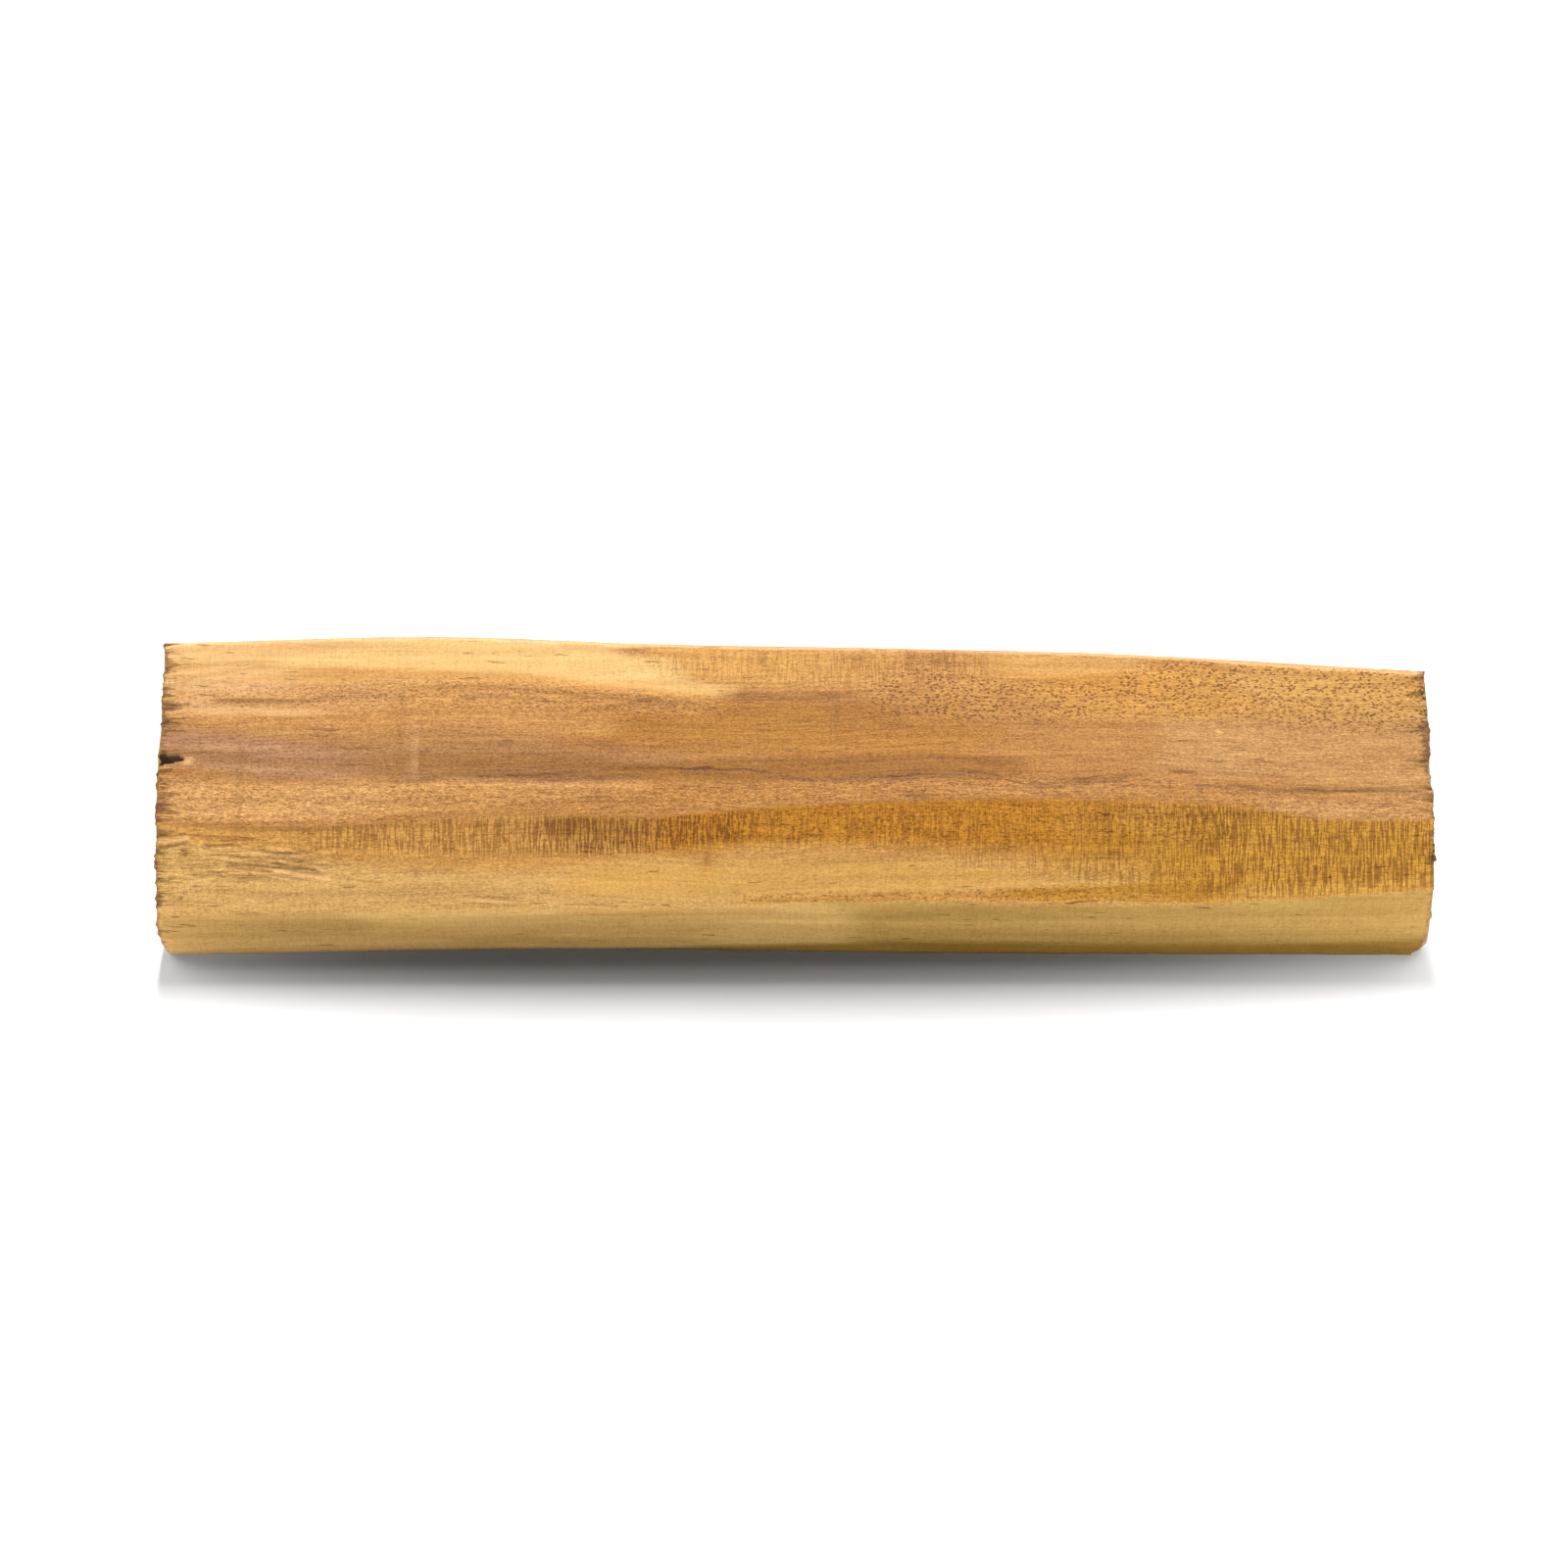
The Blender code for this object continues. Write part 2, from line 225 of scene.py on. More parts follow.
# Small marks: tone, strength, x, distance across, half-length in millimetres, half-width, and how far raised
MARKS = {"crest": [
    ("brown", 0.8, 4, 33, 1.3, 3.5, -0.08),
    ("brown", 0.6, -15.2, 33, 1.2, 2.5, 0),
    ("dusky", 0.7, 12.2, 96.5, 1.2, 4, -0.08),
    ("brown", 0.3, -3.2, 9, 0.6, 6, 0),
    ("brown", 0.3, 1.4, 15, 0.5, 6, 0),
    ("brown", 0.35, 6.3, 8, 0.9, 5, 0),
    ("brown", 0.3, 9.2, 17, 0.7, 5, 0),
    ("brown", 0.35, 14.8, 7, 1.2, 5, 0),
    ("brown", 0.3, -40.3, 54, 0.4, 30, -0.03),
    ("finger", 0.3, -38.8, 62, 0.4, 24, 0.03),
    ("brown", 0.4, -56.6, 77, 0.4, 26, -0.04),
    ("brown", 0.5, -19.8, 88, 0.5, 9, 0),
    ("brown", 0.5, 33.2, 91, 0.5, 11, -0.03),
    ("brown", 0.4, 4.1, 47, 0.5, 14, 0),
    # A raised fibre beside the hole, painted pale partly as a painted highlight
    ("peach", 0.9, -61.9, 65.5, 0.6, 1.8, 0.12),
    ("peach", 0.9, 43.4, 50, 0.25, 0.8, 0.05),
    ("peach", 0.8, 41.4, 17, 0.25, 0.8, 0.05),
], "brow": [
    ("ochre", 0.7, -8.9, 48, 0.6, 20, 0),
    ("brown", 0.5, -8.9, 46, 0.35, 10, -0.03),
    ("brown", 0.3, 10, 42, 0.4, 12, 0),
]}

# Cracks and splinters: tone, strength, how far raised, and places as for the stains. In the torn patch the
# dark cuts are partly painted shade, and the pale raised edges partly painted highlight
CRACKS = {"brow": [
    ("brown", 0.7, -0.15, [(-52.8, 42, 1.8), (-47.5, 52, 1.8)]),
    ("peach", 0.8, 0.16, [(-52.7, 51, 3), (-47.5, 60, 2.8)]),
    ("peach", 0.8, 0.16, [(-48.1, 49, 3.5), (-47.4, 55, 3.5)]),
    ("brown", 0.7, -0.12, [(-56.9, 35, 1.5), (-50.1, 39, 1.8)]),
    ("brown", 0.6, -0.1, [(-52.2, 30, 1.4), (-50.1, 31, 1.4)]),
    ("finger", 0.3, 0.06, [(-54, 34, 2), (-50.1, 35, 3)]),
    ("brown", 0.7, -0.08, [(-59.4, 23, 1.8), (-56.7, 22, 1.8)]),
    ("brown", 0.6, -0.06, [(-62, 12, 1.6), (-55, 14, 1.6)]),
    ("peach", 0.8, 0.16, [(-64.3, 20, 3), (-61.8, 15.5, 3)]),
    # Painted shadow below the pale ledge above it
    ("brown", 0.7, -0.12, [(-64.3, 26, 2.2), (-61.8, 21, 2.2)]),
    ("brown", 0.8, -0.12, [(-61.95, 31, 6), (-61.85, 31, 6)]),
    ("brown", 0.7, -0.12, [(-62.3, 82, 2.2), (-61.7, 74, 2.2), (-61, 67, 2.2)]),
    ("peach", 0.7, 0.12, [(-62, 77, 2.5), (-61.4, 69, 2.5), (-60.7, 62, 2.5)]),
    ("peach", 0.4, 0.06, [(-33.9, 86, 1.8), (-28.9, 89, 1.8)]),
    ("umber", 0.4, -0.05, [(-33.9, 82, 1.4), (-28.9, 85, 1.4)]),
    ("umber", 0.4, -0.04, [(-45, 62, 1.4), (-42, 66, 1.4)]),
    ("umber", 0.35, -0.04, [(-39.5, 72, 1.2), (-36.5, 74, 1.2)]),
], "crest": [
    ("dusky", 0.7, -0.02, [(-1.1, 82, 1.2), (3.5, 85, 1.2), (7.1, 83, 1.3), (11.2, 85, 1.3)]),
    ("dusky", 0.9, -0.03, [(11.9, 82, 1.3), (14.8, 83, 1.3), (18.4, 82, 1.3)]),
    ("dusky", 0.6, -0.02, [(-11.1, 74, 1.2), (-5.1, 76, 1.2), (-2.1, 79, 1.2)]),
    ("dusky", 0.6, -0.02, [(-31, 77, 1.2), (-25, 80, 1.2), (-16.1, 77, 1.2)]),
    ("brown", 0.4, 0, [(-51.3, 34, 1.2), (-45.3, 32, 1.2), (-39.3, 34, 1.2)]),
    ("brown", 0.5, -0.02, [(-58.9, 32, 1.2), (-52.3, 34, 1.2)]),
    ("brown", 0.4, 0, [(-34.2, 34, 1.6), (-25.2, 35, 1.7)]),
    ("brown", 0.4, 0, [(-21.2, 40, 1.2), (-14.7, 33, 1.7)]),
    ("brown", 0.5, 0, [(24.7, 92, 2), (28.8, 89, 2.7), (33.3, 85, 2.7)]),
    ("brown", 0.35, -0.02, [(24, 87, 1.2), (28, 85, 1.2)]),
    ("dusky", 0.7, -0.02, [(28.8, 88.5, 1.4), (33.3, 85, 1.4), (34.8, 82, 1)]),
    ("dusky", 0.9, -0.04, [(38.6, 79, 1.4), (40.4, 79, 1.4)]),
    ("dusky", 0.8, -0.02, [(40.8, 88, 1.2), (45.7, 87, 1.5), (50.7, 84, 1.4), (57.7, 80.5, 1.4),
                           (64.2, 81, 0.8)]),
]}

# How softly the stains end: along the stick in millimetres, and across it as shares of their half-width
STAIN_FADE = 5.0
PATCH_FADE = 8.0
CRACK_FADE = 0.7
STAIN_EDGE = 1.25
STAIN_SOFT = 0.7
MARK_EDGE = 0.8

# The dark line along the rosy streak: x, share across the facet; and how dark it is: x, strength
DARK_LINE = [(-42, 0.79), (-34, 0.78), (-25, 0.77), (-16, 0.72), (-11, 0.73), (-4, 0.77), (0, 0.82),
             (6, 0.84), (14, 0.83), (20, 0.83), (24, 0.91), (28, 0.87), (33, 0.83), (41, 0.88),
             (46, 0.85), (54, 0.81), (65, 0.81)]
LINE_STRENGTH = [(-42, 0), (-33, 0.8), (-25, 0.7), (-20, 0.1), (-14, 0.7), (-4, 0.8), (3, 0.5), (9, 0.9),
                 (20, 0.6), (26, 0.8), (33, 0.9), (36, 0.1), (42, 0.6), (52, 0.8), (60, 0.6), (65, 0.7)]

# Where the surface is pitted, dashed by the blade, torn or fuzzy: facet, strength, places as for the stains
PITTED = [
    ("crest", 1, [(12, 28, 20), (20, 34, 18), (29, 33, 14), (39, 22, 22), (65, 18, 27)]),
    ("crest", 0.35, [(-12, 12, 10), (0, 16, 14), (14, 14, 13)]),
    ("crest", 0.5, [(-60, 31, 6), (-30, 31, 10), (-10, 38, 8)]),
    ("brow", 0.6, [(-12, 12, 20), (10, 22, 24), (40, 20, 25)]),
    ("brow", 0.6, [(-3, 93, 5), (30, 90, 8)]),
    ("back", 0.8, [(-42, 40, 30), (-10, 50, 35), (26, 40, 30)]),
    ("shoulder", 0.7, [(-62, 30, 25), (-34, 35, 30)]),
]
DASHED = [
    ("brow", 0.68, [(-46, 14, 16), (-36, 20, 24), (-28, 22, 26)]),
    ("brow", 0.95, [(-24, 20, 24), (-18, 20, 24), (-8, 16, 20)]),
    ("brow", 0.5, [(-8, 20, 22), (20, 26, 28)]),
    ("brow", 0.45, [(18, 34, 34), (32, 40, 42)]),
    ("brow", 0.6, [(32, 38, 46), (40, 42, 60)]),
    ("brow", 0.85, [(42, 42, 60), (50, 43, 66), (65, 44, 70)]),
    ("crest", 0.4, [(-12, 10, 8), (0, 14, 13), (16, 12, 12)]),
    ("shoulder", 0.8, [(-18, 50, 30), (14, 45, 40), (50, 55, 30)]),
    ("heel", 0.7, [(-50, 50, 40), (-20, 45, 35)]),
]
TORN = [
    ("brow", 0.6, [(-66, 46, 42), (-60, 42, 38), (-54, 38, 24), (-48, 44, 14)]),
    ("brow", 0.6, [(-36, 90, 5), (-24, 90, 5)]),
]
FUZZY = [
    ("crest", 1, [(-65, 88, 14), (-17, 90, 9), (65, 93, 8)]),
    ("crest", 0.45, [(-62, 31, 9), (-12, 36, 10)]),
    ("brow", 0.6, [(-65, 40, 40), (-46, 35, 30)]),
    ("back", 0.8, [(30, 75, 20), (65, 60, 35)]),
    ("heel", 0.8, [(10, 50, 35), (65, 50, 45)]),
]

# How torn the rims are below, how much more above, where that changes, and how far the notches reach in
RIM_TORN = 0.3
RIM_TORN_MORE = 0.7
RIM_TORN_FROM = 8
RIM_TORN_OVER = 9
NOTCH_REACH = (1.6, 0.6)

HIDDEN_STREAKS = 34
HIDDEN_FACETS = ["near foot", "far foot", "heel", "back", "shoulder"]
HIDDEN_TONES = ["rosy", "golden", "pale", "orange", "finger", "umber", "flame"]

# The splinters: how many, which shares lie in the torn patch and up to the left end, and how they taper
SLIVERS = 260
SLIVERS_TORN = 0.3
SLIVERS_LEFT = 0.7
SLIVER_SUNK = 0.03
BRIGHTEST = 0.9
SLIVER_STEPS = ((0.0, 1.0), (0.35, 0.9), (0.7, 0.6), (1.0, 0.1))
SLIVER_TURNS = (0.0, 2.1, 4.2)
NEAR_END = 2

SEEDS = {"ragged": 30, "fine ragged": 40, "saw": 50, "teeth": 60, "streaks": 11, "slivers": 23}

# Noise in the form and the tones: swings a millimetre along the stick and across it, and seed
CLOUDS = {
    "ledges": (0.13, 1.1, 3), "strips": (0.16, 2.6, 12), "chips": (0.45, 0.9, 5),
    "uneven": (0.3, 0.7, 9), "fine crumbs": (0.35, 1.5, 8), "large crumbs": (0.2, 0.45, 13),
    "drift": (0.06, 0.35, 1), "bend": (0.05, 0.35, 2), "fine bend": (0.25, 1.4, 4),
    "edge": (0.5, 0.5, 6), "rim": (0.1, 2.2, 7),
}
CLOUD_APART = 17.3
DRIFT = 2.5

# Noise in the material: swings a millimetre along each axis, detail and roughness
GRAINS = {
    "bends": ((0.05, 0.09, 0.09), 1.0, 0.5), "fibre": ((0.14, 4.2, 4.2), 3.0, 0.65),
    "broad": ((0.035, 1.1, 1.1), 2.0, 0.5), "grit": ((2.9, 6.4, 6.4), 2.0, 0.65),
    "crumbs": ((1.1, 3.8, 3.8), 2.0, 0.65), "strokes": ((5.6, 0.5, 0.5), 1.5, 0.5),
    "pores": ((0.5, 6.5, 6.5), 2.0, 0.5), "split": ((0.24, 3.8, 3.8), 2.0, 0.6),
    "notches": ((0.3, 2.8, 2.8), 3.0, 0.6), "wander": ((0.35, 0.1, 0.1), 3.0, 0.6),
    "gaps": ((0.3, 0.2, 0.2), 2.0, 0.5), "uneven rings": ((0.1, 0.12, 0.12), 2.0, 0.5),
    "rings": ((0.75, 1, 1), 3.0, 0.6), "vessels": ((1.5, 5.5, 5.5), 1.0, 0.5),
    "saw marks": ((0.3, 2.6, 0.35), 2.0, 0.5), "dust": ((3, 3, 3), 2.0, 0.5),
}

# Where each pattern starts and where it is full
EDGES = {
    "pits": (0.48, 0.22), "pits kept": (0.15, 0.25), "strokes": (0.525, 0.6), "pores": (0.58, 0.72),
    "pale fibres": (0.48, 0.4), "cracks": (0.57, 0.66), "notches": (0.67, 0.72), "line": (0.03, 0.17),
    "gaps": (0.42, 0.55), "vessels": (0.6, 0.7), "white floor": (0.14, 0.3),
}

# What a pattern leaves of the wood's red, green and blue
TINTS = {
    "dark grain": (0.55, 0.45, 0.36), "light grain": (1.45, 1.55, 1.64), "pits": (0.5, 0.38, 0.22),
    "strokes": (0.47, 0.37, 0.2), "pores": (0.55, 0.46, 0.38), "pale fibres": (1.3, 1.35, 1.35),
    "cracks": (0.46, 0.33, 0.2), "line": (0.36, 0.31, 0.28), "dark rings": (0.58, 0.5, 0.42),
    "light rings": (1.42, 1.5, 1.56), "vessels": (0.5, 0.4, 0.32),
}
STRENGTHS = {"pits": 0.95, "strokes": 0.95, "pores": 0.5, "pale fibres": 0.7, "cracks": 0.7, "line": 0.8,
             "vessels": 0.5}

# How much each pattern changes the tone of the wood, and its height
TONE_OF = {"fibre": 0.95, "broad": 0.5, "grit": 1.6, "fuzzy grit": 0.7, "crumbs": 1.3, "rings": 1.7,
           "saw marks": 0.9, "dust": 0.5}
HEIGHT_OF = {"fibre": 0.35, "grit": 0.25, "fuzzy grit": 0.5, "cracks": -0.8, "pits": -0.55, "strokes": -0.3}
CALMED = 0.75
MORE_STROKES = 0.06
MORE_NOTCHES = 0.24
LINE_WANDER = 1.1
BENT_BY = 2.2
RINGS_UNEVEN = 6.0
PIT_SCALE = (2.2, 3.1, 3.1)
PIT_UNEVEN = 0.5
BUMP_DEPTH = 0.11
PITH = (9, -24)

# The camera, in millimetres and degrees, and the soft boxes: tilt, width and power
CAMERA_LENS = 111.8
CAMERA_AIM = (-1.1, 0, 13.0)
CAMERA_AWAY = 506
CAMERA_DOWN = 27
SOFT_BOXES = {"soft_box": (38, 1.03, 33.2), "soft_box_above": (15, 1.73, 4.8)}
SOFT_BOX_DEPTH = 0.3
SOFT_BOX_AWAY = 1.5
SOFT_BOX_LEFT = -0.03


def hermite(knots, values, x):
    """A smooth curve through the values at the knots."""
    slopes = np.gradient(values, knots)
    k = np.clip(np.searchsorted(knots, x) - 1, 0, len(knots) - 2)
    span = knots[k + 1] - knots[k]
    t = (x - knots[k]) / span
    ends = (2 * t**3 - 3 * t**2 + 1) * values[k] + (3 * t**2 - 2 * t**3) * values[k + 1]
    return ends + ((t**3 - 2 * t**2 + t) * slopes[k] + (t**3 - t**2) * slopes[k + 1]) * span


def through(points, x):
    """A smooth curve through points (x, ...): its other values at each x."""
    knots, *values = np.array(points, float).T
    return np.stack([hermite(knots, v, x) for v in values], axis=-1)


def bell(t):
    """1 in the middle, falling smoothly to 0 at -1 and 1."""
    return np.where(np.abs(t) < 1, 0.5 + 0.5 * np.cos(np.pi * np.clip(t, -1, 1)), 0.0)


def rise(t):
    """0 below 0, then smoothly up to 1 at 1."""
    t = np.clip(t, 0, 1)
    return t * t * (3 - 2 * t)


def wave(x, seed, length):
    """A slow uneven wave along x, between about -1 and 1, different for each seed."""
    draw = np.random.default_rng(seed)
    total = np.zeros_like(x)
    for stretch in (1.0, 0.61, 0.37):
        total = total + stretch * np.sin(2 * np.pi * x / (length * stretch) + draw.uniform(0, 2 * np.pi))
    return total / 1.6


def cloud(points, name):
    """Smooth noise at each point, about -1 to 1."""
    along, across, seed = CLOUDS[name]
    places = points * (along, across, across) + (0, 0, CLOUD_APART * seed)
    flat = [noise.noise(place) for place in places.reshape(-1, 3).tolist()]
    return np.array(flat).reshape(points.shape[:-1])


def unit(v):
    """The vectors, made one long."""
    return v / np.linalg.norm(v, axis=-1, keepdims=True)


def shares_across(name):
    """Where a facet's points lie between its two worn ridges, from 0 to 1."""
    points = FACETS[name][0]
    return np.arange(1, points + 1) / (points + 1)


def section(x):
    """The stick's outline at x: AROUND points (y, z) that start at the crest."""
    corners = {name: through(points, x) for name, points in RIDGES.items()}
    outline = []
    for number, name in enumerate(NAMES):
        next_name = NAMES[(number + 1) % SIDES]
        before, here, after = corners[NAMES[number - 1]], corners[name], corners[next_name]
        start = here + unit(before - here) * WORN[name]
        end = here + unit(after - here) * WORN[name]
        for t in np.linspace(0, 1, RIDGE_POINTS):
            outline.append((1 - t)**2 * start + 2 * t * (1 - t) * here + t**2 * end)
        next_start = after + unit(here - after) * WORN[next_name]
        along = unit(next_start - end)
        normal = np.stack([along[..., 1], -along[..., 0]], axis=-1)
        for across in shares_across(name):
            push = FACETS[name][1] * wave(x + STROKE_SLANT * across, number, STROKE_LENGTH)
            push = push * 4 * across * (1 - across)
            outline.append(end + (next_start - end) * across + normal * push[..., None])
    return np.stack(outline, axis=-2)


def facet_widths():
    """The width of each facet halfway along the stick."""
    corners = [through(RIDGES[name], np.zeros(1))[0] for name in NAMES]
    return [np.linalg.norm(corners[(n + 1) % SIDES] - corners[n]) for n in range(SIDES)]


def girth():
    """Where each point round the section lies: its facet's number plus the share across it."""
    widths = facet_widths()
    places = []
    for number, name in enumerate(NAMES):
        before = WORN[name] / widths[number - 1]
        after = WORN[name] / widths[number]
        ending = WORN[NAMES[(number + 1) % SIDES]] / widths[number]
        places += [number + t * (after if t > 0 else before) for t in np.linspace(-1, 1, RIDGE_POINTS)]
        places += [number + after + (1 - after - ending) * share for share in shares_across(name)]
    return np.array(places)


def off_line(g, line):
    """How far round the section a point is from a line, in facets."""
    return (g - line + SIDES / 2) % SIDES - SIDES / 2


def on_facet(g, number):
    """1 on one facet and 0 on the others, changing over a narrow band at its two ridges."""
    return rise((0.5 - np.abs(off_line(g, number + 0.5))) / RIDGE_BLEND + 0.5)


def stain(x, g, facet, places, fade=STAIN_FADE):
    """How strongly each point lies in a stain that runs through the places on a facet."""
    ends = places[0][0], places[-1][0]
    inside = np.clip(x, *ends)
    shape = through(places, inside) / 100
    off = np.abs(off_line(g, NAMES.index(facet) + shape[..., 0])) / shape[..., 1]
    return rise((STAIN_EDGE - off) / STAIN_SOFT) * bell(np.abs(x - inside) / fade)


def mark(x, g, facet, at, share, long, wide):
    """1 in the middle of a small mark, and 0 outside it."""
    across = off_line(g, NAMES.index(facet) + share / 100) / wide * 100
    return np.sqrt(bell((x - at) / long * MARK_EDGE) * bell(across * MARK_EDGE))


def sawn_end(side, outline):
    """How far the rim at one end is worn or torn back at each point of the section there."""
    turn = 2 * np.pi * np.arange(AROUND) / AROUND
    ragged = wave(turn, SEEDS["ragged"] + side, RAGGED_LENGTH)
    ragged += FINE_RAGGED * wave(turn, SEEDS["fine ragged"] + side, FINE_RAGGED_LENGTH)
    worn = RIM_WORN_AT_FOOT[side] * np.exp(-outline[:, 1] / RIM_WORN_HEIGHT[side])
    return worn + RIM_RAGGED * ragged


def teeth(side):
    """The small bites that the saw left along the rim at one end."""
    draw = np.random.default_rng(SEEDS["teeth"] + side)
    bites = draw.gamma(0.8, 1.0, AROUND)
    bites = 0.5 * bites + 0.25 * (np.roll(bites, 1) + np.roll(bites, -1))
    return RIM_TEETH[side] * (np.minimum(bites, DEEPEST_TOOTH) - TEETH_OUT)


def stations():
    """Where the rings stand along the stick: much closer together towards the sawn ends."""
    evenly = np.linspace(-1, 1, SIDE_RINGS)
    crowded = np.sin(np.pi / 2 * evenly)
    return (HALF - RIM_BEVEL) * (evenly + RING_CROWDING * (crowded - evenly))


def tear(x, g):
    """1 in the middle of the torn patch, and 0 outside it."""
    off = off_line(g, NAMES.index("brow") + TEAR_ACROSS)
    return bell((x - TEAR_X) / TEAR_HALF_LENGTH) * bell(off / TEAR_HALF_WIDTH)


def torn_strips(points):
    """The uneven strips of fibre in the torn patch, about -1 to 1, running down a little to the right."""
    slanted = points + points[..., :1] * (0, 0, TEAR_SLANT)
    return np.clip(5 * cloud(slanted, "strips"), -1, 1)


def relief(points, g):
    """How far the surface is raised or cut at each point: torn ledges, ridge chips and unevenness."""
    x = points[..., 0]
    torn = np.sqrt(tear(x, g))
    ledges = rise(0.5 + 4 * cloud(points, "ledges")) - 0.5
    chips = np.maximum(cloud(points, "chips"), 0)
    near_ridge = bell(off_line(g, np.round(g)) / CHIP_HALF_WIDTH)
    pushed = TEAR_LEDGES * torn * ledges - TEAR_DEPTH * tear(x, g) - CHIP_DEPTH * near_ridge * chips
    pushed += TEAR_STRIPS * torn * torn_strips(points)
    pushed += UNEVEN * cloud(points, "uneven")
    crumbs = cloud(points, "fine crumbs") + 0.8 * cloud(points, "large crumbs")
    near_end = np.exp(-(HALF - np.abs(x)) / CRUMBLED_REACH)
    pushed -= CRUMBLED * near_end * np.maximum(crumbs, -CRUMBLED_OUT)
    for facet, marks in MARKS.items():
        for _, _, at, share, long, wide, raised in marks:
            pushed += raised * mark(x, g, facet, at, share, long, wide)
    for facet, cracks in CRACKS.items():
        for _, _, raised, places in cracks:
            pushed += raised * stain(x, g, facet, places, CRACK_FADE)
    return pushed


def outward(rings):
    """The direction out of the wood at each point of a grid of rings."""
    along = np.gradient(rings, axis=0)
    round_it = np.roll(rings, -1, axis=1) - np.roll(rings, 1, axis=1)
    normal = np.cross(round_it, along)
    return unit(normal)


def break_hole(rings, outline):
    """Sinks the points that lie inside the tapered hole at the left end."""
    first = RIDGE_POINTS
    last = first + FACETS["crest"][0] - 1
    low = outline[first] + (outline[last] - outline[first]) * HOLE_ACROSS
    along = unit(outline[last] - outline[first])
    inward = -np.array([along[1], -along[0]])
    axis = low + inward * HOLE_SUNK
    off = rings[..., 1:] - axis
    side = off @ along
    depth = off @ inward
    behind_tip = HOLE_TIP_X - rings[..., 0]
    radius = np.where(behind_tip > 0, HOLE_TIP_RADIUS + HOLE_GROWTH * behind_tip, 0)
    inside = np.hypot(side, depth) < radius
    floor = np.sqrt(np.maximum(radius**2 - side**2, 0))
    sunk = rings.copy()
    sunk[..., 1:] += np.where(inside, floor - depth, 0)[..., None] * inward
    return sunk, inside


def solid_box():
    """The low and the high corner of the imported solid, in millimetres."""
    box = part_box("sandalwood_stick")
    return np.array(box[0]) / MM, np.array(box[1]) / MM


def stick_grid():
    """Rings of points from end to end, and what is known of each: girth, on the sawn face, in the hole."""
    x = stations()
    outlines = section(x)
    g = girth()
    middle = outlines.mean(axis=1, keepdims=True)
    rings = []
    for i, station in enumerate(x):
        side = -1 if station < 0 else 1
        from_end = x[-1] - abs(station)
        worn_back = sawn_end(side, outlines[i]) * math.exp(-from_end / RAGGED_REACH)
        bitten = teeth(side) * math.exp(-from_end / TEETH_REACH)
        rings.append(np.column_stack([station - side * (worn_back + bitten), outlines[i]]))
    rings = np.array(rings)
    rings, painted_hole_shade = break_hole(rings + outward(rings) * relief(rings, g)[..., None], outlines[0])
    caps = {}
    for side, i in ((-1, 0), (1, -1)):
        rim = sawn_end(side, outlines[i])
        cap = []
        for share in CAP_SHARES:
            face = middle[i] + (outlines[i] - middle[i]) * share
            saw = SAW_UNEVEN * wave(face[:, 1] + SAW_SLANT * face[:, 0], SEEDS["saw"] + side, SAW_WAVE)
            worn = rim * rise((share - CAP_WORN_FROM) / CAP_WORN_OVER)
            worn = worn + teeth(side) * (share > CAP_TEETH_FROM)
            cap.append(np.column_stack([side * (HALF - SAW_UNEVEN + saw - worn), face]))
        caps[side] = np.array(cap)
    left_pole = np.array([-HALF, *middle[0, 0]])
    right_pole = np.array([HALF, *middle[-1, 0]])
    grid = np.concatenate([caps[-1], rings, caps[1][::-1]])
    sawn = np.zeros(grid.shape[:2])
    sawn[:len(CAP_SHARES)] = 1
    sawn[-len(CAP_SHARES):] = 1
    # Where near-black painted shade goes: inside the hole
    dark = np.zeros(grid.shape[:2])
    dark[len(CAP_SHARES):-len(CAP_SHARES)] = painted_hole_shade
    grid = np.clip(grid, *solid_box())
    return left_pole, grid, right_pole, np.broadcast_to(g, grid.shape[:2]), sawn, dark


def grid_mesh(name, left_pole, rings, right_pole):
    """A closed skin over rings of points, with a fan at each end."""
    count, around = rings.shape[:2]
    points = np.concatenate([left_pole[None], rings.reshape(-1, 3), right_pole[None]])
    ids = 1 + np.arange(count * around).reshape(count, around)
    after = np.roll(ids, -1, axis=1)
    quads = np.stack([ids[:-1], ids[1:], after[1:], after[:-1]], axis=-1).reshape(-1, 4)
    last = len(points) - 1
    fans = [(0, int(a), int(b)) for a, b in zip(ids[0], after[0])]
    fans += [(last, int(b), int(a)) for a, b in zip(ids[-1], after[-1])]
    mesh = bpy.data.meshes.new(name)
    mesh.from_pydata(points.tolist(), [], quads.tolist() + fans)
    mesh.validate()
    return mesh


def lay(colour, tone, weight):
    """Lays a tone over the colour so far, as strongly as the weight says."""
    return colour + (np.array(TONES[tone]) - colour) * weight[..., None]


def hidden_streaks():
    """Streaks for the facets that can't be seen in the photograph: like the others, but placed by chance."""
    draw = np.random.default_rng(SEEDS["streaks"])
    streaks = {facet: [] for facet in HIDDEN_FACETS}
    for _ in range(HIDDEN_STREAKS):
        facet = draw.choice(HIDDEN_FACETS)
        tone = draw.choice(HIDDEN_TONES)
        start = draw.uniform(-70, 30)
        across = draw.uniform(5, 95)
        steps = start + np.cumsum([0, *draw.uniform(14, 30, 2)])
        places = [(s, across + draw.uniform(-8, 8), draw.uniform(3, 14)) for s in steps]
        streaks[facet].append((tone, draw.uniform(0.3, 0.75), places))
    return streaks


def drifted(points):
    """Where each point lies along the stick, shifted so that the stains end unevenly."""
    return points[..., 0] + DRIFT * cloud(points, "drift")


def torn_by_height(points):
    """How strongly the rims are torn: less towards the foot."""
    return RIM_TORN + RIM_TORN_MORE * rise((points[..., 2] - RIM_TORN_FROM) / RIM_TORN_OVER)


